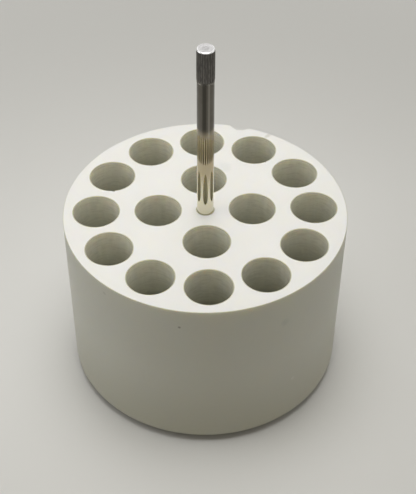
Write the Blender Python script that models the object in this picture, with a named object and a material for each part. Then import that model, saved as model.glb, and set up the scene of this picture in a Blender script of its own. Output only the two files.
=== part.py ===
"""Centrifuge tube adapter: a round plastic block drilled with tube sockets, with a steel lifting rod.

Metres, +Z up. The origin is the centre of the underside. One socket of every ring lies at the front, on -Y.
The underside is a foot of smaller diameter, which holds the lower edge of the wall clear of the bench.
"""
import math

import bmesh
import bpy
from mathutils import Matrix, Vector

# Driving dimensions of the block
BLOCK_DIAMETER = 0.0860
BLOCK_HEIGHT = 0.0580
FOOT_DIAMETER = 0.0760
FOOT_HEIGHT = 0.0025
WALL_ROUND = 0.0010
EDGE_BREAK = 0.0002

# Driving dimensions of the sockets
SOCKET_BORE = 0.0140
SOCKET_FLOOR = 0.0050
RIM_WALL = 0.0030
SOCKET_WEB = 0.0030
RING_WEB = 0.00475

# Driving dimensions of the rod
ROD_DIAMETER = 0.0050
ROD_RISE = 0.0575
SHANK_SEAT = 0.0080
THREAD_DIAMETER = 0.0044
THREAD_LENGTH = 0.0170
THREAD_END_BREAK = 0.0002
KNURL_LENGTH = 0.0100
KNURL_PITCH = 0.0008
KNURL_CREST = 0.000125
KNURL_DEPTH = 0.0002
KNURL_END_BREAK = 0.0004

# Driving dimensions of the chip broken out of the rim
CHIP_ANGLE = 72.7
CHIP_WIDTH = 0.0069
CHIP_REACH = 0.0023
CHIP_DROP = 0.0033

# Clearances: FIT_GAP lies all round the rod, and CUT_MARGIN is how far a cutter stands clear of what it cuts
FIT_GAP = 0.0003
CUT_MARGIN = 0.0010

# Facets
BLOCK_SIDES = 96
SOCKET_SIDES = 24
HOLE_SIDES = 24
BALL_STEPS = 4
ROUND_STEPS = 2
MERGE_DISTANCE = 0.000001
CREASE_ANGLE = math.radians(30.0)

# The chip's outline on the deck, end to end, as shares of half its width and of its reach
CHIP_OUTLINE = ((1.0, 0.0), (0.68, 0.58), (0.15, 1.0), (-0.35, 0.82), (-0.74, 0.28), (-1.0, 0.0))
# Where the break leaves the wall below, as shares of half its width and of its drop
CHIP_FOOT = ((0.62, 0.55), (0.12, 1.0), (-0.48, 0.62))

# Sizes that follow from those above
BLOCK_RADIUS = BLOCK_DIAMETER / 2
FOOT_RADIUS = FOOT_DIAMETER / 2
SOCKET_RADIUS = SOCKET_BORE / 2
ROD_RADIUS = ROD_DIAMETER / 2
THREAD_RADIUS = THREAD_DIAMETER / 2
ROD_HOLE_RADIUS = ROD_RADIUS + FIT_GAP
KNURL_RADIUS = ROD_RADIUS + KNURL_CREST
KNURL_COUNT = round(math.tau * KNURL_RADIUS / KNURL_PITCH)


def clear_scene():
    for old in list(bpy.data.objects):
        bpy.data.objects.remove(old, do_unlink=True)


def make_material(name, colour, roughness, metallic):
    material = bpy.data.materials.new(name)
    material.use_nodes = True
    shader = material.node_tree.nodes["Principled BSDF"]
    shader.inputs["Base Color"].default_value = (*colour, 1.0)
    shader.inputs["Roughness"].default_value = roughness
    shader.inputs["Metallic"].default_value = metallic
    material.diffuse_color = (*colour, 1.0)
    return material


def turned(profile, sides):
    """Return the solid that (radius, height) points sweep round Z, with flat faces across its open ends."""
    shape = bmesh.new()
    points = [shape.verts.new((radius, 0.0, height)) for radius, height in profile]
    edges = [shape.edges.new(pair) for pair in zip(points, points[1:])]
    bmesh.ops.spin(shape, geom=points + edges, cent=(0, 0, 0), axis=(0, 0, 1), angle=math.tau, steps=sides,
                   use_merge=True)
    bmesh.ops.remove_doubles(shape, verts=shape.verts, dist=MERGE_DISTANCE)
    bmesh.ops.holes_fill(shape, edges=[edge for edge in shape.edges if edge.is_boundary])
    bmesh.ops.recalc_face_normals(shape, faces=shape.faces)
    return shape


def quarter_round(radius, height, size, steps, start):
    """Return points of a quarter circle about (radius, height), counted from the angle start in degrees."""
    angles = [math.radians(start + 90.0 * step / steps) for step in range(steps + 1)]
    return [(radius + size * math.cos(angle), height + size * math.sin(angle)) for angle in angles]


def add_object(name, shape, material=None):
    mesh = bpy.data.meshes.new(name)
    shape.to_mesh(mesh)
    shape.free()
    if material:
        mesh.materials.append(material)
    item = bpy.data.objects.new(name, mesh)
    bpy.context.scene.collection.objects.link(item)
    return item


def add_cutter(name, shape):
    cutter = add_object(name, shape)
    cutter.hide_render = True
    cutter.display_type = "WIRE"
    return cutter


def shade(mesh):
    """Shade the round faces smooth and keep the edges between faces crisp."""
    mesh.shade_smooth()
    mesh.set_sharp_from_angle(angle=CREASE_ANGLE)


def cut_away(item, cutters):
    """Take the cutters out of the item, one Boolean each, and remove them."""
    for cutter in cutters:
        difference = item.modifiers.new(cutter.name, "BOOLEAN")
        difference.operation = "DIFFERENCE"
        difference.solver = "EXACT"
        difference.object = cutter
    whole = item.data
    item.data = bpy.data.meshes.new_from_object(item.evaluated_get(bpy.context.evaluated_depsgraph_get()))
    item.data.name = item.name
    item.modifiers.clear()
    bpy.data.meshes.remove(whole)
    for cutter in cutters:
        bpy.data.objects.remove(cutter, do_unlink=True)


def socket_places():
    """Return the sockets' centres, ring by ring from the rim, each ring as full as the web lets it be."""
    places = []
    ring = BLOCK_RADIUS - RIM_WALL - SOCKET_RADIUS
    while ring >= ROD_HOLE_RADIUS + SOCKET_WEB + SOCKET_RADIUS:
        half_step = math.asin((SOCKET_BORE + SOCKET_WEB) / (2 * ring))
        count = math.floor(math.pi / half_step)
        for index in range(count):
            angle = math.tau * index / count - math.pi / 2
            places.append(Vector((ring * math.cos(angle), ring * math.sin(angle), 0.0)))
        ring -= SOCKET_BORE + RING_WEB
    return places


def socket_cutter():
    """Return one ball-ended drill for every socket, opening into a broken edge at the deck."""
    ball = quarter_round(0.0, SOCKET_FLOOR + SOCKET_RADIUS, SOCKET_RADIUS, BALL_STEPS, -90.0)
    profile = [(0.0, SOCKET_FLOOR)] + ball[1:]
    profile.append((SOCKET_RADIUS, BLOCK_HEIGHT - EDGE_BREAK))
    profile.append((SOCKET_RADIUS + EDGE_BREAK + CUT_MARGIN, BLOCK_HEIGHT + CUT_MARGIN))
    drill = turned(profile, SOCKET_SIDES)
    drills = bmesh.new()
    for place in socket_places():
        mesh = bpy.data.meshes.new("drill")
        drill.to_mesh(mesh)
        mesh.transform(Matrix.Translation(place))
        drills.from_mesh(mesh)
        bpy.data.meshes.remove(mesh)
    drill.free()
    return add_cutter("socket_drills", drills)


def rod_hole_cutter():
    """Return the stepped drill for the rod: a plain seat for the shank, then the narrower tapped length."""
    thread_hole = THREAD_RADIUS + FIT_GAP
    step = BLOCK_HEIGHT - SHANK_SEAT
    bottom = step - THREAD_LENGTH - FIT_GAP
    profile = [
        (thread_hole, bottom),
        (thread_hole, step - FIT_GAP),
        (ROD_HOLE_RADIUS, step - FIT_GAP),
        (ROD_HOLE_RADIUS, BLOCK_HEIGHT - EDGE_BREAK),
        (ROD_HOLE_RADIUS + EDGE_BREAK + CUT_MARGIN, BLOCK_HEIGHT + CUT_MARGIN),
    ]
    return add_cutter("rod_drill", turned(profile, HOLE_SIDES))


def rim_point(along, inward, height):
    """Return the point so far along the rim from the chip's middle, and so far in from the wall."""
    angle = math.radians(CHIP_ANGLE) + along / BLOCK_RADIUS
    radius = BLOCK_RADIUS - inward
    return Vector((radius * math.cos(angle), radius * math.sin(angle), height))


def chip_cutter():
    """Return the lump that broke out of the rim: deep at the deck, running out lower down the wall."""
    half = CHIP_WIDTH / 2
    lump = bmesh.new()
    for along, inward in CHIP_OUTLINE:
        lump.verts.new(rim_point(along * half, inward * CHIP_REACH, BLOCK_HEIGHT))
        lump.verts.new(rim_point(along * half, inward * CHIP_REACH, BLOCK_HEIGHT + CUT_MARGIN))
        lump.verts.new(rim_point(along * half, -CUT_MARGIN, BLOCK_HEIGHT + CUT_MARGIN))
    for along, drop in CHIP_FOOT:
        lump.verts.new(rim_point(along * half, 0.0, BLOCK_HEIGHT - drop * CHIP_DROP))
        lump.verts.new(rim_point(along * half, -CUT_MARGIN, BLOCK_HEIGHT - drop * CHIP_DROP))
    hull = bmesh.ops.convex_hull(lump, input=lump.verts)
    spare = [item for item in hull["geom_interior"] if isinstance(item, bmesh.types.BMVert)]
    bmesh.ops.delete(lump, geom=spare, context="VERTS")
    bmesh.ops.recalc_face_normals(lump, faces=lump.faces)
    return add_cutter("rim_chip", lump)


def make_tube_block(frame):
    """Return the block: turned outside, drilled for tubes and rod, with the chip out of its rim."""
    foot = [(FOOT_RADIUS - EDGE_BREAK, 0.0), (FOOT_RADIUS, EDGE_BREAK), (FOOT_RADIUS, FOOT_HEIGHT)]
    wall_edge = FOOT_HEIGHT + WALL_ROUND
    profile = foot + quarter_round(BLOCK_RADIUS - WALL_ROUND, wall_edge, WALL_ROUND, ROUND_STEPS, -90.0)
    profile.append((BLOCK_RADIUS, BLOCK_HEIGHT - EDGE_BREAK))
    profile.append((BLOCK_RADIUS - EDGE_BREAK, BLOCK_HEIGHT))
    plastic = make_material("pebble_grey_plastic", (0.76, 0.74, 0.66), 0.50, 0.0)
    block = add_object("tube_block", turned(profile, BLOCK_SIDES), plastic)
    block.parent = frame
    cut_away(block, [socket_cutter(), rod_hole_cutter(), chip_cutter()])
    shade(block.data)
    return block


def press_knurl(shape, bottom, top):
    """Push every second line of the head's vertices in, from its lower shoulder to its top edge."""
    sector = math.tau / (2 * KNURL_COUNT)
    for vert in shape.verts:
        if not bottom < vert.co.z < top:
            continue
        if round(math.atan2(vert.co.y, vert.co.x) / sector) % 2:
            shrink = (KNURL_RADIUS - KNURL_DEPTH) / KNURL_RADIUS
            vert.co.x *= shrink
            vert.co.y *= shrink


def make_lifting_rod(frame):
    """Return the rod: thread, shank and knurled head in one, with its own origin where it leaves the deck."""
    seat = -SHANK_SEAT
    shoulder = ROD_RISE - KNURL_LENGTH
    profile = [
        (THREAD_RADIUS - THREAD_END_BREAK, seat - THREAD_LENGTH),
        (THREAD_RADIUS, seat - THREAD_LENGTH + THREAD_END_BREAK),
        (THREAD_RADIUS, seat),
        (ROD_RADIUS, seat),
        (ROD_RADIUS, shoulder),
        (KNURL_RADIUS, shoulder + KNURL_CREST),
        (KNURL_RADIUS, ROD_RISE - KNURL_END_BREAK),
        (KNURL_RADIUS - KNURL_END_BREAK, ROD_RISE),
    ]
    shape = turned(profile, 2 * KNURL_COUNT)
    press_knurl(shape, shoulder, ROD_RISE)
    steel = make_material("turned_steel", (0.50, 0.46, 0.38), 0.22, 1.0)
    rod = add_object("lifting_rod", shape, steel)
    rod.parent = frame
    rod.location = (0.0, 0.0, BLOCK_HEIGHT)
    shade(rod.data)
    return rod


def build():
    clear_scene()
    frame = bpy.data.objects.new("tube_adapter", None)
    bpy.context.scene.collection.objects.link(frame)
    make_tube_block(frame)
    make_lifting_rod(frame)


build()
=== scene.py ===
"""Looks of the centrifuge tube adapter: a drilled plastic block with a knurled steel rod, in a pale studio.

Metres, +Z up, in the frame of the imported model: the block stands on z = 0, and -Y is the front.
"""
import math

import bmesh
import bpy
from mathutils import Matrix, Vector, noise


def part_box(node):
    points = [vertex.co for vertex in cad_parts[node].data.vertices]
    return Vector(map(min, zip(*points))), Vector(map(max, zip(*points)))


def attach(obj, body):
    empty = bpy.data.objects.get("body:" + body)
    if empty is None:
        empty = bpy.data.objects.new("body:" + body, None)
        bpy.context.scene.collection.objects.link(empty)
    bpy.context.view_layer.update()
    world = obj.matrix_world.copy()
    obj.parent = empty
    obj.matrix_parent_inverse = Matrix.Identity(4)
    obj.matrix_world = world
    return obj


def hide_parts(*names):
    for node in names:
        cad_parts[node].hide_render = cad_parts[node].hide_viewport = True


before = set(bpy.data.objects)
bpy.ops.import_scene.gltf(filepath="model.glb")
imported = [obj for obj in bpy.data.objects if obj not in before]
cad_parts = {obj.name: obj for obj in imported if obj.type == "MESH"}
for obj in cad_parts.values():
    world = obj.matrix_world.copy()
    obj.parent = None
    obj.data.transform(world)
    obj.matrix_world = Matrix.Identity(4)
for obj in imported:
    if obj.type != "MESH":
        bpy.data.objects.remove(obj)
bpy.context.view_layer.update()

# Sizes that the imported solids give
BLOCK_LOW, BLOCK_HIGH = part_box("tube_block")
ROD_LOW, ROD_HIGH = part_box("lifting_rod")
BLOCK_RADIUS = (BLOCK_HIGH.x - BLOCK_LOW.x) / 2
DECK = BLOCK_HIGH.z
KNURL_RADIUS = (ROD_HIGH.x - ROD_LOW.x) / 2

# The block and its sockets: sizes in metres, and how many sockets each ring has
FOOT_RADIUS = 0.0380
FOOT_HEIGHT = 0.0025
WALL_ROUND = 0.0010
EDGE_ROUND = 0.0002
SOCKET_RADIUS = 0.00695
SOCKET_FLOOR = 0.0050
MOUTH_ROUND = 0.00015
OUTER_RING = 0.0330
OUTER_COUNT = 12
INNER_RING = 0.01425
INNER_COUNT = 4

# The rod and the flared hole that it stands in: sizes in metres, and how many ridges the knurl has
ROD_RADIUS = 0.0025
HOLE_RADIUS = 0.00251
HOLE_FLARE = 0.0002
SHANK_SEAT = 0.0080
THREAD_PITCH = 0.0008
THREAD_DEPTH = 0.00045
THREAD_RADIUS = 0.00246
THREAD_END_BREAK = 0.0002
RELIEF_LENGTH = 0.0003
RELIEF_DEPTH = 0.0001
KNURL_LENGTH = 0.0100
KNURL_COUNT = 21
KNURL_DEPTH = 0.00022
KNURL_END_BREAK = 0.0004
DISH_RADIUS = 0.0014
DISH_FLOOR_RADIUS = 0.00084
DISH_DEPTH = 0.00012

# The chip out of the rim, as in the part: along the rim and inwards, then along the rim and down the wall
CHIP_ANGLE = math.radians(72.7)
CHIP_WIDTH = 0.0069
CHIP_REACH = 0.0023
CHIP_DROP = 0.0033
CHIP_OUTLINE = ((1.0, 0.0), (0.68, 0.58), (0.15, 1.0), (-0.35, 0.82), (-0.74, 0.28), (-1.0, 0.0))
CHIP_FOOT = ((0.62, 0.55), (0.12, 1.0), (-0.48, 0.62))

# How uneven the chip's face is, in two layers: how far it is moved, and the size of the lumps
CHIP_LUMPS = ((0.00022, 0.0011), (0.00007, 0.0003))
NOISE_SEED = 1

# Small nicks on the sockets' edges: place on the deck and size, and how uneven they are
NICKS = (((-0.0280, 0.00925), 0.0004), ((0.01985, 0.0222), 0.0003))
NICK_LUMPS = (0.00012, 0.0003)

# Facets, and the angle past which an edge is a crease
BLOCK_SIDES = 360
SOCKET_SIDES = 120
BALL_STEPS = 14
HOLE_SIDES = 64
EDGE_STEPS = 3
WALL_STEPS = 6
THREAD_STEPS = 8
KNURL_STEPS = 8
END_STEPS = 6
CHIP_CUTS = 4
NICK_STEPS = 3
CREASE_ANGLE = math.radians(40.0)

# How far a cutter stands out of the block, and how near two points count as one, in metres
CUT_MARGIN = 0.0010
MERGE_DISTANCE = 0.000001

# Where painted shade darkens the plastic, in metres below the deck: down the wall, down the sockets, and
# deep in the sockets
WALL_SHADE_DEPTH = 0.025
SOCKET_SHADE_DEPTH = 0.018
DEEP_SHADE_BEGINS = 0.0118
DEEP_SHADE_WHOLE = 0.0152

# Painted shade makes the sockets darker towards the right front: the way there, and where on it that begins
# and is whole
SOCKET_SHADE_WAY = (0.5, -0.85, 0.0)
SOCKET_SHADE_BEGINS = 0.008
SOCKET_SHADE_WHOLE = 0.030

# The steel's painted reflection, a brown darkening and a dark tone above it, standing in for the darker
# surroundings that the shaft mirrors higher up: where each begins and is whole, in metres above the deck
BROWN_REFLECTION_BEGINS = 0.007
BROWN_REFLECTION_WHOLE = 0.017
DARK_REFLECTION_BEGINS = 0.026
DARK_REFLECTION_WHOLE = 0.0325

# The painted reflection bands along the shaft's dark reflection, one dark and one light: place along X,
# half width and tone
REFLECTION_BANDS = ((-0.00040, 0.0009, (0.078, 0.073, 0.063, 1.0)),
              (0.00090, 0.00035, (0.275, 0.262, 0.232, 1.0)))

# The floor, in metres: its reach, its depth under the block, and where its far part begins and is whole
FLOOR_RADIUS = 6.0
FLOOR_SIDES = 96
FLOOR_DROP = 0.00002
FAR_BEGINS = 0.08
FAR_WHOLE = 0.50

# The camera: its place in metres, how far it looks down, its roll and turn, and its focal length in pixels
PICTURE_HEIGHT = 494
FOCAL_PIXELS = 1112.3
CAMERA_SIDE = 0.00089
CAMERA_BACK = 0.25309
CAMERA_ABOVE_DECK = 0.22301
CAMERA_PITCH = math.radians(43.32)
CAMERA_ROLL = math.radians(0.307)
CAMERA_TURN = math.radians(-2.1)
SENSOR = 24.0

# Lamp colours
COOL = (0.96, 0.98, 1.0)
WARM = (1.0, 0.99, 0.97)

# The Mix node's sockets where it mixes colours
MIX_SHARE = 0
MIX_FIRST = 6
MIX_SECOND = 7
MIX_RESULT = 2


def quarter_round(radius, height, size, steps, start):
    """Return points of a quarter circle about (radius, height), from the angle start in degrees on."""
    angles = [math.radians(start + 90.0 * step / steps) for step in range(steps + 1)]
    return [(radius + size * math.cos(angle), height + size * math.sin(angle)) for angle in angles]


def turned(profile, sides):
    """Return the shape that (radius, height) points sweep round Z, with its open ends closed flat."""
    shape = bmesh.new()
    points = [shape.verts.new((radius, 0.0, height)) for radius, height in profile]
    edges = [shape.edges.new(pair) for pair in zip(points, points[1:])]
    bmesh.ops.spin(shape, geom=points + edges, cent=(0, 0, 0), axis=(0, 0, 1), angle=math.tau,
                   steps=sides, use_merge=True)
    bmesh.ops.remove_doubles(shape, verts=shape.verts, dist=MERGE_DISTANCE)
    bmesh.ops.holes_fill(shape, edges=[edge for edge in shape.edges if edge.is_boundary])
    bmesh.ops.recalc_face_normals(shape, faces=shape.faces)
    return shape


def add_piece(name, shape, material):
    """Make the shape an object with this name and material, at the origin."""
    mesh = bpy.data.meshes.new(name)
    shape.to_mesh(mesh)
    shape.free()
    mesh.materials.append(material)
    piece = bpy.data.objects.new(name, mesh)
    bpy.context.scene.collection.objects.link(piece)
    return piece


def shade(piece):
    """Shade smooth but for the creases, and let large flat faces rule the normals beside them."""
    piece.data.shade_smooth()
    piece.data.set_sharp_from_angle(angle=CREASE_ANGLE)
    weighted = piece.modifiers.new("flat faces rule", "WEIGHTED_NORMAL")
    weighted.keep_sharp = True


def cut_away(piece, cutters):
    """Take the cutters out of the piece. The cut faces keep the cutters' materials."""
    for cutter in cutters:
        difference = piece.modifiers.new(cutter.name, "BOOLEAN")
        difference.operation = "DIFFERENCE"
        difference.solver = "EXACT"
        difference.material_mode = "TRANSFER"
        difference.object = cutter
    whole = piece.data
    result = piece.evaluated_get(bpy.context.evaluated_depsgraph_get())
    piece.data = bpy.data.meshes.new_from_object(result)
    piece.data.name = piece.name
    piece.modifiers.clear()
    bpy.data.meshes.remove(whole)
    for cutter in cutters:
        bpy.data.objects.remove(cutter, do_unlink=True)


def socket_places():
    """Return the sockets' centres, evenly spaced round each ring from -Y on."""
    places = []
    for ring, count in ((OUTER_RING, OUTER_COUNT), (INNER_RING, INNER_COUNT)):
        for index in range(count):
            angle = math.tau * index / count - math.pi / 2
            places.append(Vector((ring * math.cos(angle), ring * math.sin(angle), 0.0)))
    return places


def mouth(radius, size, steps):
    """Return the profile of a rounded mouth at the deck: round the edge, then on past the deck."""
    curve = [(2 * (radius + size) - along, up) for along, up in
             quarter_round(radius + size, DECK - size, size, steps, 0.0)]
    last, end = curve[-2], curve[-1]
    reach = CUT_MARGIN / (end[1] - last[1])
    past = (end[0] + (end[0] - last[0]) * reach, end[1] + CUT_MARGIN)
    return curve[:-1] + [past]


def socket_drills(material):
    """Return the ball-ended drills of all sockets as one piece."""
    ball = quarter_round(0.0, SOCKET_FLOOR + SOCKET_RADIUS, SOCKET_RADIUS, BALL_STEPS, -90.0)
    profile = [(0.0, SOCKET_FLOOR)] + ball[1:] + mouth(SOCKET_RADIUS, MOUTH_ROUND, EDGE_STEPS)
    drill = bpy.data.meshes.new("drill")
    shape = turned(profile, SOCKET_SIDES)
    shape.to_mesh(drill)
    shape.free()
    drills = bmesh.new()
    for place in socket_places():
        drill.transform(Matrix.Translation(place))
        drills.from_mesh(drill)
        drill.transform(Matrix.Translation(-place))
    bpy.data.meshes.remove(drill)
    return add_piece("socket_drills", drills, material)


def rod_drill(material):
    """Return the drill of the rod's blind hole, which flares at the deck."""
    flare = HOLE_FLARE + CUT_MARGIN
    profile = [(HOLE_RADIUS, ROD_LOW.z - THREAD_END_BREAK), (HOLE_RADIUS, DECK - HOLE_FLARE)]
    profile.append((HOLE_RADIUS + flare, DECK - HOLE_FLARE + flare))
    return add_piece("rod_drill", turned(profile, HOLE_SIDES), material)


def rim_point(along, inward, height):
    """Return the point this far along the rim from the chip's middle, and this far in from the wall."""
    angle = CHIP_ANGLE + along / BLOCK_RADIUS
    radius = BLOCK_RADIUS - inward
    return Vector((radius * math.cos(angle), radius * math.sin(angle), height))


def roughen(shape, amount, grain):
    """Move every vertex by smooth noise of the given amount and grain size, the same each time."""
    noise.seed_set(NOISE_SEED)
    for vert in shape.verts:
        vert.co += amount * noise.noise_vector(vert.co / grain)


def chip_lump(material):
    """Return the lump that broke out of the rim, with an uneven face."""
    half = CHIP_WIDTH / 2
    lump = bmesh.new()
    for along, inward in CHIP_OUTLINE:
        lump.verts.new(rim_point(along * half, inward * CHIP_REACH, DECK))
        lump.verts.new(rim_point(along * half, inward * CHIP_REACH, DECK + CUT_MARGIN))
        lump.verts.new(rim_point(along * half, -CUT_MARGIN, DECK + CUT_MARGIN))
    for along, drop in CHIP_FOOT:
        lump.verts.new(rim_point(along * half, 0.0, DECK - drop * CHIP_DROP))
        lump.verts.new(rim_point(along * half, -CUT_MARGIN, DECK - drop * CHIP_DROP))
    hull = bmesh.ops.convex_hull(lump, input=lump.verts)
    spare = [item for item in hull["geom_interior"] if isinstance(item, bmesh.types.BMVert)]
    bmesh.ops.delete(lump, geom=spare, context="VERTS")
    bmesh.ops.triangulate(lump, faces=lump.faces)
    for _ in range(CHIP_CUTS):
        bmesh.ops.subdivide_edges(lump, edges=lump.edges, cuts=1, use_grid_fill=True)
    bmesh.ops.smooth_vert(lump, verts=lump.verts, factor=0.5, use_axis_x=True, use_axis_y=True,
                          use_axis_z=True)
    for amount, grain in CHIP_LUMPS:
        roughen(lump, amount, grain)
    bmesh.ops.recalc_face_normals(lump, faces=lump.faces)
    return add_piece("rim_chip", lump, material)


def nick_lumps(material):
    """Return the small uneven bites out of the sockets' edges."""
    lumps = bmesh.new()
    for (x, y), size in NICKS:
        place = Matrix.Translation((x, y, DECK))
        bmesh.ops.create_icosphere(lumps, subdivisions=NICK_STEPS, radius=size, matrix=place)
    roughen(lumps, *NICK_LUMPS)
    return add_piece("nicks", lumps, material)


def make_block(plastic, broken):
    """Return the block: foot, wall and deck from one turned shape, then drilled, chipped and nicked."""
    foot = [(FOOT_RADIUS - EDGE_ROUND, 0.0), (FOOT_RADIUS, EDGE_ROUND), (FOOT_RADIUS, FOOT_HEIGHT)]
    wall_low = FOOT_HEIGHT + WALL_ROUND
    edge = quarter_round(BLOCK_RADIUS - WALL_ROUND, wall_low, WALL_ROUND, WALL_STEPS, -90.0)
    rim = quarter_round(BLOCK_RADIUS - EDGE_ROUND, DECK - EDGE_ROUND, EDGE_ROUND, EDGE_STEPS, 0.0)
    block = add_piece("drilled_block", turned(foot + edge + rim, BLOCK_SIDES), plastic)
    cut_away(block, [socket_drills(plastic), rod_drill(plastic), chip_lump(broken), nick_lumps(plastic)])
    shade(block)
    return block


def thread_radius(place):
    """Return the thread's radius at a place: a V that climbs one pitch a turn."""
    turn = place.z / THREAD_PITCH - math.atan2(place.y, place.x) / math.tau
    return THREAD_RADIUS - THREAD_DEPTH * abs(2 * (turn % 1.0) - 1)


def knurl_radius(place):
    """Return the knurl's radius at a place: a shallow V between neighbouring ridges."""
    turn = math.atan2(place.y, place.x) / math.tau * KNURL_COUNT
    return KNURL_RADIUS - KNURL_DEPTH * (1 - abs(2 * (turn % 1.0) - 1))


def set_radius(vert, radius):
    """Move a vertex straight out or in to this distance from the axis."""
    scale = radius / math.hypot(vert.co.x, vert.co.y)
    vert.co.x *= scale
    vert.co.y *= scale


def make_rod(steel):
    """Return the rod: threaded end, shank, relief groove and knurled head, from one turned shape."""
    thread_top = DECK - SHANK_SEAT
    thread_low = ROD_LOW.z + THREAD_END_BREAK
    thread_high = thread_top - THREAD_END_BREAK
    thread_rings = round((thread_high - thread_low) / THREAD_PITCH * THREAD_STEPS)
    shoulder = ROD_HIGH.z - KNURL_LENGTH
    crest_low = shoulder + (KNURL_RADIUS - ROD_RADIUS)
    crest_high = ROD_HIGH.z - KNURL_END_BREAK
    profile = [(THREAD_RADIUS - THREAD_DEPTH, ROD_LOW.z)]
    for ring in range(thread_rings + 1):
        profile.append((THREAD_RADIUS, thread_low + (thread_high - thread_low) * ring / thread_rings))
    relief_low = shoulder - RELIEF_DEPTH - RELIEF_LENGTH
    profile += [(ROD_RADIUS, thread_top), (ROD_RADIUS, relief_low - RELIEF_DEPTH)]
    for height in (relief_low, relief_low + RELIEF_LENGTH):
        profile.append((ROD_RADIUS - RELIEF_DEPTH, height))
    profile += [(ROD_RADIUS, shoulder), (KNURL_RADIUS, crest_low)]
    profile += quarter_round(KNURL_RADIUS - KNURL_END_BREAK, crest_high, KNURL_END_BREAK, END_STEPS, 0.0)
    profile += [(DISH_RADIUS, ROD_HIGH.z), (DISH_FLOOR_RADIUS, ROD_HIGH.z - DISH_DEPTH)]
    shape = turned(profile, KNURL_COUNT * KNURL_STEPS)
    for vert in shape.verts:
        if thread_low - MERGE_DISTANCE < vert.co.z < thread_high + MERGE_DISTANCE:
            set_radius(vert, thread_radius(vert.co))
        if crest_low - MERGE_DISTANCE < vert.co.z < crest_high + MERGE_DISTANCE:
            set_radius(vert, knurl_radius(vert.co))
    rod = add_piece("knurled_rod", shape, steel)
    shade(rod)
    return rod


def add_node(tree, kind, inputs=None, **settings):
    """Add a node with its settings, and give its inputs values or links."""
    made = tree.nodes.new(kind)
    for name, value in settings.items():
        setattr(made, name, value)
    for key, value in (inputs or {}).items():
        if isinstance(value, bpy.types.NodeSocket):
            tree.links.new(value, made.inputs[key])
        else:
            made.inputs[key].default_value = value
    return made


def calc(tree, operation, *values):
    """Return the result of a Math node."""
    return add_node(tree, "ShaderNodeMath", dict(enumerate(values)), operation=operation).outputs[0]


def radius_of(tree, split):
    """Return the length of the X and Y shares together: for a place, its distance from the Z axis."""
    square = calc(tree, "ADD", calc(tree, "MULTIPLY", split["X"], split["X"]),
                  calc(tree, "MULTIPLY", split["Y"], split["Y"]))
    return calc(tree, "SQRT", square)


def ramp(tree, value, low, high):
    """Return 0 at low and 1 at high, with a smooth step between, whichever of the two is the larger."""
    inputs = {"Value": value, "From Min": low, "From Max": high}
    return add_node(tree, "ShaderNodeMapRange", inputs, interpolation_type="SMOOTHSTEP").outputs["Result"]


def mix_colour(tree, share, first, second, blend="MIX"):
    """Return the first colour, with this share of the second mixed or multiplied into it."""
    inputs = {MIX_SHARE: share, MIX_FIRST: first, MIX_SECOND: second}
    return add_node(tree, "ShaderNodeMix", inputs, data_type="RGBA", blend_type=blend).outputs[MIX_RESULT]


def new_group(name, vectors, numbers, result):
    """Return a node group with these inputs and one number as its result, and the sockets at its ends."""
    tree = bpy.data.node_groups.new(name, "ShaderNodeTree")
    for title in vectors:
        tree.interface.new_socket(title, in_out="INPUT", socket_type="NodeSocketVector")
    for title in numbers:
        tree.interface.new_socket(title, in_out="INPUT", socket_type="NodeSocketFloat")
    tree.interface.new_socket(result, in_out="OUTPUT", socket_type="NodeSocketFloat")
    return tree, tree.nodes.new("NodeGroupInput").outputs, tree.nodes.new("NodeGroupOutput").inputs


def use_group(tree, group, inputs):
    """Place a node group and return its outputs."""
    return add_node(tree, "ShaderNodeGroup", inputs, node_tree=group).outputs


def new_material(name):
    """Return a material's node tree, its Principled shader and the place on the object."""
    material = bpy.data.materials.new(name)
    material.use_nodes = True
    tree = material.node_tree
    place = tree.nodes.new("ShaderNodeTexCoord").outputs["Object"]
    return material, tree, tree.nodes["Principled BSDF"], place


def socket_distance_group():
    """Distance from the axis of the nearest socket of one ring of evenly spaced sockets."""
    tree, given, result = new_group("socket distance", ["Place"], ["Ring Radius", "Count"], "Distance")
    split = add_node(tree, "ShaderNodeSeparateXYZ", {"Vector": given["Place"]}).outputs
    turn = calc(tree, "ARCTAN2", split["X"], split["Y"])
    share = calc(tree, "MULTIPLY", calc(tree, "DIVIDE", turn, math.tau), given["Count"])
    offset = calc(tree, "SUBTRACT", share, calc(tree, "ROUND", share))
    angle = calc(tree, "DIVIDE", calc(tree, "MULTIPLY", offset, math.tau), given["Count"])
    radius = radius_of(tree, split)
    outwards = calc(tree, "MULTIPLY", radius, calc(tree, "COSINE", angle))
    ends = {"X": calc(tree, "SUBTRACT", outwards, given["Ring Radius"]),
            "Y": calc(tree, "MULTIPLY", radius, calc(tree, "SINE", angle))}
    tree.links.new(radius_of(tree, ends), result["Distance"])
    return tree


def grain_group():
    """Fine mottled grain from 0 to 1, at a size given in metres."""
    tree, given, result = new_group("grain", ["Place"], ["Size", "Detail"], "Grain")
    scale = calc(tree, "DIVIDE", 1.0, given["Size"])
    cloud = add_node(tree, "ShaderNodeTexNoise", {"Vector": given["Place"], "Scale": scale,
                                                  "Detail": given["Detail"], "Roughness": 0.6})
    tree.links.new(cloud.outputs["Fac"], result["Grain"])
    return tree


def grain_of(tree, grain, place, size, detail):
    """Return the grain group's value for lumps of this size in metres."""
    return use_group(tree, grain, {"Place": place, "Size": size, "Detail": detail})["Grain"]


def stretched(tree, place, scale):
    """Return the place times the scale. A pattern on it is drawn out where the scale is small."""
    made = add_node(tree, "ShaderNodeVectorMath", {0: place, 1: scale}, operation="MULTIPLY")
    return made.outputs["Vector"]


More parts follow.
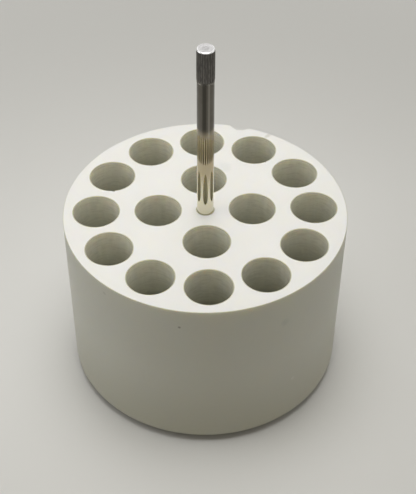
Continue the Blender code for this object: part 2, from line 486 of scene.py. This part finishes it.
def spot_group(grain):
    """One soft uneven spot round a centre: 1 inside its radius and 0 outside."""
    tree, given, result = new_group("spot", ["Place", "Centre"], ["Radius", "Softness"], "Mask")
    points = {0: given["Place"], 1: given["Centre"]}
    away = add_node(tree, "ShaderNodeVectorMath", points, operation="DISTANCE").outputs["Value"]
    share = calc(tree, "DIVIDE", away, given["Radius"])
    uneven = grain_of(tree, grain, given["Place"], given["Radius"], 3.0)
    share = calc(tree, "ADD", share, calc(tree, "SUBTRACT", uneven, 0.5))
    inner = calc(tree, "SUBTRACT", 1.0, given["Softness"])
    outer = calc(tree, "ADD", 1.0, given["Softness"])
    tree.links.new(ramp(tree, share, outer, inner), result["Mask"])
    return tree


def wall_point(angle, height):
    """Return a point on the block's wall, by its angle in degrees and its height."""
    turn = math.radians(angle)
    return (BLOCK_RADIUS * math.cos(turn), BLOCK_RADIUS * math.sin(turn), height)


def marks_of_use():
    """Return the smudge, the scuff and the specks: centre, radius, softness, share and tone of each."""
    return (
        ((0.0065, 0.0201, DECK), 0.0022, 0.5, 0.16, (0.42, 0.47, 0.50, 1.0)),
        ((0.0208, 0.0351, DECK), 0.0005, 0.8, 0.22, (0.40, 0.38, 0.28, 1.0)),
        ((0.0214, 0.0357, DECK), 0.0006, 0.8, 0.30, (0.34, 0.32, 0.24, 1.0)),
        ((0.0221, 0.0363, DECK), 0.0006, 0.8, 0.30, (0.36, 0.34, 0.27, 1.0)),
        (wall_point(-101.5, DECK - 0.0066), 0.0004, 0.4, 0.60, (0.20, 0.19, 0.17, 1.0)),
        (wall_point(-59.7, DECK - 0.0109), 0.0011, 0.8, 0.18, (0.38, 0.42, 0.44, 1.0)),
        (wall_point(-53.4, DECK - 0.0387), 0.0006, 0.7, 0.35, (0.90, 0.90, 0.88, 1.0)),
        (wall_point(-133.6, DECK - 0.0036), 0.0005, 0.6, 0.25, (0.30, 0.30, 0.28, 1.0)))


def nearest_socket(tree, place, socket_distance):
    """Return the distance from the axis of the nearest socket of either ring."""
    rings = [use_group(tree, socket_distance, {"Place": place, "Ring Radius": radius, "Count": count})
             for radius, count in ((OUTER_RING, OUTER_COUNT), (INNER_RING, INNER_COUNT))]
    return calc(tree, "MINIMUM", rings[0]["Distance"], rings[1]["Distance"])


def inside_sockets(tree, height, nearest):
    """Return 1 on the sockets' walls and ball ends, and 0 elsewhere."""
    below = ramp(tree, height, DECK - 0.0002, DECK - 0.0008)
    above = ramp(tree, height, SOCKET_FLOOR - 0.0010, SOCKET_FLOOR - 0.0005)
    within = ramp(tree, nearest, SOCKET_RADIUS + 0.0004, SOCKET_RADIUS + 0.0001)
    return calc(tree, "MULTIPLY", calc(tree, "MULTIPLY", below, within), above)


def deck_edge_shade(tree, height, from_axis, nearest):
    """Return a mask of the sockets' edges and the rod hole's, and more weakly of the rim, at the deck:
    where an olive line of painted shade goes.
    """
    mouths = ramp(tree, nearest, SOCKET_RADIUS + 0.00034, SOCKET_RADIUS + 0.00018)
    rim = ramp(tree, from_axis, BLOCK_RADIUS - EDGE_ROUND, BLOCK_RADIUS - 0.0001)
    flare_edge = HOLE_RADIUS + HOLE_FLARE
    flare = calc(tree, "MULTIPLY", ramp(tree, from_axis, flare_edge + 0.0002, flare_edge + 0.00005),
                 ramp(tree, from_axis, flare_edge - 0.0003, flare_edge))
    edges = calc(tree, "MAXIMUM", calc(tree, "MAXIMUM", mouths, calc(tree, "MULTIPLY", rim, 0.6)), flare)
    return calc(tree, "MULTIPLY", edges, ramp(tree, height, DECK - 0.00035, DECK - 0.0001))


def socket_tone_and_shade(tree, place, height, grain):
    """Return the sockets' tone: painted lighter near the deck and painted shade downwards, deep down and
    towards the right front, with cutter marks, mottle and upright streaks.
    """
    marks = grain_of(tree, grain, stretched(tree, place, (0.2, 0.2, 1.0)), 0.0007, 4.0)
    mottle = grain_of(tree, grain, place, 0.0009, 3.0)
    streaks = grain_of(tree, grain, stretched(tree, place, (1.0, 1.0, 0.16)), 0.0016, 4.0)
    # Painted light and shade: the walls are painted lighter than the plastic near the deck and darker
    # downwards
    lower_shade = ramp(tree, height, DECK, DECK - SOCKET_SHADE_DEPTH)
    colour = mix_colour(tree, lower_shade, (0.88, 0.875, 0.785, 1.0), (0.65, 0.645, 0.53, 1.0))
    # The first layer is painted shade deep in the sockets; the others are cutter marks, mottle and streaks
    for value, begins, whole, share, tone in (
            (height, DECK - DEEP_SHADE_BEGINS, DECK - DEEP_SHADE_WHOLE, 0.62, (0.17, 0.165, 0.12, 1.0)),
            (marks, 0.42, 0.68, 0.28, (0.48, 0.47, 0.38, 1.0)),
            (mottle, 0.52, 0.72, 0.22, (0.92, 0.90, 0.82, 1.0)),
            (streaks, 0.3, 0.7, 0.20, (0.56, 0.56, 0.47, 1.0))):
        layer = calc(tree, "MULTIPLY", ramp(tree, value, begins, whole), share)
        colour = mix_colour(tree, layer, colour, tone)
    # Painted shade: the sockets are painted darker towards the right front
    front = add_node(tree, "ShaderNodeVectorMath", {0: place, 1: SOCKET_SHADE_WAY}, operation="DOT_PRODUCT")
    shade_and_dullness = ramp(tree, front.outputs["Value"], SOCKET_SHADE_BEGINS, SOCKET_SHADE_WHOLE)
    return mix_colour(tree, shade_and_dullness, colour, (0.89, 0.89, 0.88, 1.0), "MULTIPLY")


def make_plastic(grain, spot, socket_distance):
    """Pebble-grey polypropylene, machined to a fine matt grain, with the marks of use, painted shade down
    the wall and along the deck's edges, and painted light and shade in the sockets.
    """
    material, tree, shader, place = new_material("pebble_grey_plastic")
    split = add_node(tree, "ShaderNodeSeparateXYZ", {"Vector": place}).outputs
    height = split["Z"]
    from_axis = radius_of(tree, split)
    nearest = nearest_socket(tree, place, socket_distance)
    clouds = grain_of(tree, grain, place, 0.02, 3.0)
    fine = grain_of(tree, grain, place, 0.0004, 4.0)
    colour = mix_colour(tree, clouds, (0.745, 0.742, 0.720, 1.0), (0.770, 0.768, 0.752, 1.0))
    # Painted shade: the wall is painted darker towards the foot
    lower_shade = calc(tree, "MULTIPLY", ramp(tree, height, DECK - WALL_SHADE_DEPTH, FOOT_HEIGHT), 0.8)
    colour = mix_colour(tree, lower_shade, colour, (0.60, 0.588, 0.53, 1.0))
    sockets = socket_tone_and_shade(tree, place, height, grain)
    colour = mix_colour(tree, inside_sockets(tree, height, nearest), colour, sockets)
    wall = ramp(tree, from_axis, BLOCK_RADIUS - 0.0003, BLOCK_RADIUS - 0.0001)
    colour = mix_colour(tree, wall, colour, (0.995, 1.012, 0.965, 1.0), "MULTIPLY")
    # Painted shade: an olive line along the edges of the holes and the rim
    edges = calc(tree, "MULTIPLY", deck_edge_shade(tree, height, from_axis, nearest), 0.85)
    colour = mix_colour(tree, edges, colour, (0.44, 0.42, 0.26, 1.0))
    for centre, radius, softness, share, tone in marks_of_use():
        size = {"Place": place, "Centre": centre, "Radius": radius, "Softness": softness}
        mark = calc(tree, "MULTIPLY", use_group(tree, spot, size)["Mask"], share)
        colour = mix_colour(tree, mark, colour, tone)
    tree.links.new(colour, shader.inputs["Base Color"])
    rough = calc(tree, "ADD", calc(tree, "MULTIPLY", clouds, 0.12), calc(tree, "MULTIPLY", fine, 0.10))
    tree.links.new(calc(tree, "ADD", rough, 0.36), shader.inputs["Roughness"])
    shader.inputs["IOR"].default_value = 1.49
    shader.inputs["Subsurface Weight"].default_value = 0.5
    shader.inputs["Subsurface Radius"].default_value = (1.0, 0.85, 0.55)
    shader.inputs["Subsurface Scale"].default_value = 0.003
    bump = add_node(tree, "ShaderNodeBump", {"Height": fine, "Distance": 0.00003, "Strength": 0.5})
    tree.links.new(bump.outputs["Normal"], shader.inputs["Normal"])
    return material


def make_broken_plastic(grain):
    """The same plastic where it broke: paler and rough."""
    material, tree, shader, place = new_material("broken_plastic")
    coarse = grain_of(tree, grain, place, 0.0005, 5.0)
    colour = mix_colour(tree, coarse, (0.70, 0.68, 0.61, 1.0), (0.82, 0.81, 0.77, 1.0))
    tree.links.new(colour, shader.inputs["Base Color"])
    shader.inputs["Roughness"].default_value = 0.7
    bump = add_node(tree, "ShaderNodeBump", {"Height": coarse, "Distance": 0.0001, "Strength": 0.8})
    tree.links.new(bump.outputs["Normal"], shader.inputs["Normal"])
    return material


def dark_reflection_colour(tree, split, clouds, uneven, head):
    """Return the painted dark reflection on the shaft, with its painted dark and light bands, and on the
    knurl.
    """
    patches = ramp(tree, clouds, 0.3, 0.7)
    dark_reflection = mix_colour(tree, patches, (0.148, 0.137, 0.119, 1.0), (0.177, 0.165, 0.146, 1.0))
    for middle, half_width, tone in REFLECTION_BANDS:
        away = calc(tree, "ABSOLUTE", calc(tree, "SUBTRACT", split["X"], middle))
        dark_reflection = mix_colour(tree, ramp(tree, away, half_width, 0.3 * half_width), dark_reflection, tone)
    ridges = ramp(tree, uneven, 0.35, 0.65)
    knurl = mix_colour(tree, ridges, (0.10, 0.096, 0.09, 1.0), (0.185, 0.176, 0.163, 1.0))
    return mix_colour(tree, head, dark_reflection, knurl)


def knurl_groove_shade(tree, height, from_axis, head):
    """Return 1 down in the knurl's grooves and 0 elsewhere: where shade is painted, and the steel is
    rougher.
    """
    groove = ramp(tree, from_axis, KNURL_RADIUS - 0.3 * KNURL_DEPTH, KNURL_RADIUS - KNURL_DEPTH)
    below_end = ramp(tree, height, ROD_HIGH.z, ROD_HIGH.z - KNURL_END_BREAK)
    return calc(tree, "MULTIPLY", calc(tree, "MULTIPLY", head, groove), below_end)


def rod_end(tree, height, from_axis):
    """Return a mask of the rod's end with its rounded edge, and one of the end face alone."""
    end = ramp(tree, height, ROD_HIGH.z - 0.9 * KNURL_END_BREAK, ROD_HIGH.z - 0.7 * KNURL_END_BREAK)
    face_edge = KNURL_RADIUS - KNURL_END_BREAK
    face = ramp(tree, from_axis, face_edge + 0.0001, face_edge - 0.0001)
    return end, calc(tree, "MULTIPLY", end, face)


def make_steel(grain):
    """Turned steel with fine rings, painted reflection that darkens and browns the shaft upwards for the
    darker surroundings it mirrors there, and painted shade down in the knurl's grooves.
    """
    material, tree, shader, place = new_material("turned_steel")
    split = add_node(tree, "ShaderNodeSeparateXYZ", {"Vector": place}).outputs
    height = split["Z"]
    from_axis = radius_of(tree, split)
    across = calc(tree, "MULTIPLY", from_axis, 6.0)
    rings = add_node(tree, "ShaderNodeCombineXYZ", {"X": across, "Z": height})
    lines = grain_of(tree, grain, rings.outputs["Vector"], 0.00025, 2.0)
    clouds = grain_of(tree, grain, place, 0.004, 3.0)
    uneven = grain_of(tree, grain, stretched(tree, place, (1.0, 1.0, 0.25)), 0.0004, 3.0)
    shoulder = ROD_HIGH.z - KNURL_LENGTH
    head = ramp(tree, height, shoulder - 0.0002, shoulder + 0.0002)
    groove_shade = knurl_groove_shade(tree, height, from_axis, head)
    end, face = rod_end(tree, height, from_axis)
    colour = mix_colour(tree, clouds, (0.68, 0.64, 0.50, 1.0), (0.74, 0.70, 0.56, 1.0))
    # Painted reflection: the shaft is painted browner and darker upwards, then darker still, as it mirrors
    # darker surroundings higher up
    brown_reflection = ramp(tree, height, DECK + BROWN_REFLECTION_BEGINS, DECK + BROWN_REFLECTION_WHOLE)
    colour = mix_colour(tree, brown_reflection, colour, (0.43, 0.37, 0.255, 1.0))
    dark_reflection = ramp(tree, height, DECK + DARK_REFLECTION_BEGINS, DECK + DARK_REFLECTION_WHOLE)
    colour = mix_colour(tree, dark_reflection, colour, dark_reflection_colour(tree, split, clouds, uneven, head))
    colour = mix_colour(tree, end, colour, (0.80, 0.79, 0.78, 1.0))
    worn = ramp(tree, uneven, 0.4, 0.6)
    worn_face = mix_colour(tree, worn, (0.42, 0.405, 0.40, 1.0), (0.52, 0.51, 0.50, 1.0))
    colour = mix_colour(tree, face, colour, worn_face)
    # Painted shade: the knurl's grooves are painted dark
    colour = mix_colour(tree, groove_shade, colour, (0.10, 0.095, 0.09, 1.0))
    tree.links.new(colour, shader.inputs["Base Color"])
    shader.inputs["Metallic"].default_value = 1.0
    shade_and_dullness = calc(tree, "MAXIMUM", groove_shade, calc(tree, "MULTIPLY", face, 0.6))
    rough = calc(tree, "ADD", calc(tree, "MULTIPLY", lines, 0.03), calc(tree, "MULTIPLY", shade_and_dullness, 0.35))
    tree.links.new(calc(tree, "ADD", rough, 0.025), shader.inputs["Roughness"])
    bump = add_node(tree, "ShaderNodeBump", {"Height": lines, "Distance": 0.000004, "Strength": 0.4})
    tree.links.new(bump.outputs["Normal"], shader.inputs["Normal"])
    return material


def seen_share(tree):
    """Return 1 for rays from the camera, a glossy surface or a clear one, and 0 for all others."""
    path = tree.nodes.new("ShaderNodeLightPath").outputs
    seen = calc(tree, "MAXIMUM", path["Is Camera Ray"], path["Is Glossy Ray"])
    return calc(tree, "MAXIMUM", seen, path["Is Transmission Ray"])


def make_floor():
    """A plain pale floor that runs on past every view, and looks no darker far away."""
    material, tree, shader, place = new_material("pale_floor")
    seen = seen_share(tree)
    colour = mix_colour(tree, seen, (0.25, 0.238, 0.20, 1.0), (0.66, 0.66, 0.65, 1.0))
    split = add_node(tree, "ShaderNodeSeparateXYZ", {"Vector": place}).outputs
    far = calc(tree, "MULTIPLY", ramp(tree, radius_of(tree, split), FAR_BEGINS, FAR_WHOLE), 0.38)
    shader.inputs["Emission Color"].default_value = (1.0, 1.0, 0.985, 1.0)
    tree.links.new(calc(tree, "MULTIPLY", far, seen), shader.inputs["Emission Strength"])
    tree.links.new(colour, shader.inputs["Base Color"])
    shader.inputs["Roughness"].default_value = 0.8
    shader.inputs["Specular IOR Level"].default_value = 0.2
    shape = bmesh.new()
    bmesh.ops.create_circle(shape, cap_ends=True, segments=FLOOR_SIDES, radius=FLOOR_RADIUS)
    bmesh.ops.translate(shape, verts=shape.verts, vec=(0.0, 0.0, -FLOOR_DROP))
    floor = add_piece("floor", shape, material)


def add_softbox(name, place, aim, size, power, spread, colour):
    """Add a square area light that points at the aim and keeps its light within the spread."""
    data = bpy.data.lights.new(name, "AREA")
    data.shape = "SQUARE"
    data.size = size
    data.energy = power
    data.spread = math.radians(spread)
    data.color = colour
    lamp = bpy.data.objects.new(name, data)
    lamp.location = place
    lamp.rotation_euler = (Vector(aim) - Vector(place)).to_track_quat("-Z", "Y").to_euler()
    bpy.context.scene.collection.objects.link(lamp)


def make_world():
    """Dim all-round light, which the camera and the steel see as pale as the floor."""
    world = bpy.data.worlds.new("studio")
    bpy.context.scene.world = world
    world.use_nodes = True
    tree = world.node_tree
    colour = mix_colour(tree, seen_share(tree), (0.305, 0.288, 0.245, 1.0), (0.64, 0.64, 0.63, 1.0))
    tree.links.new(colour, tree.nodes["Background"].inputs["Color"])


def make_camera():
    """The camera stands where the photograph was taken, and looks down at the deck."""
    data = bpy.data.cameras.new("camera")
    data.sensor_fit = "VERTICAL"
    data.sensor_height = SENSOR
    data.lens = FOCAL_PIXELS / PICTURE_HEIGHT * SENSOR
    data.clip_start = 0.01
    camera = bpy.data.objects.new("camera", data)
    bpy.context.scene.collection.objects.link(camera)
    stand = Matrix.Translation((CAMERA_SIDE, -CAMERA_BACK, DECK + CAMERA_ABOVE_DECK))
    tilt = Matrix.Rotation(math.pi / 2 - CAMERA_PITCH, 4, "X")
    roll = Matrix.Rotation(CAMERA_ROLL, 4, "Z")
    camera.matrix_world = Matrix.Rotation(CAMERA_TURN, 4, "Z") @ stand @ tilt @ roll
    bpy.context.scene.camera = camera


def make_adapter():
    """Put the block and the rod in the places of the two solids, on the one body."""
    grain = grain_group()
    spot = spot_group(grain)
    plastic = make_plastic(grain, spot, socket_distance_group())
    block = make_block(plastic, make_broken_plastic(grain))
    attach(block, "root")
    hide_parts("tube_block")
    rod = make_rod(make_steel(grain))
    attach(rod, "root")
    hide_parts("lifting_rod")


def make_studio():
    """The floor, the all-round light, four softboxes and the camera."""
    make_floor()
    make_world()
    add_softbox("overhead_softbox", (-0.01, 0.01, 0.36), (-0.01, 0.0, 0.0), 0.26, 0.138, 60.0, WARM)
    add_softbox("back_softbox", (0.0, 0.52, 0.46), (0.0, 0.14, 0.0), 0.60, 0.42, 120.0, COOL)
    add_softbox("left_softbox", (-0.42, 0.0, 0.30), (0.0, 0.0, 0.03), 0.30, 0.118, 100.0, COOL)
    add_softbox("right_softbox", (0.42, 0.05, 0.30), (0.0, 0.0, 0.03), 0.30, 0.048, 100.0, COOL)
    make_camera()
    bpy.context.scene.view_settings.view_transform = "Standard"


make_adapter()
make_studio()
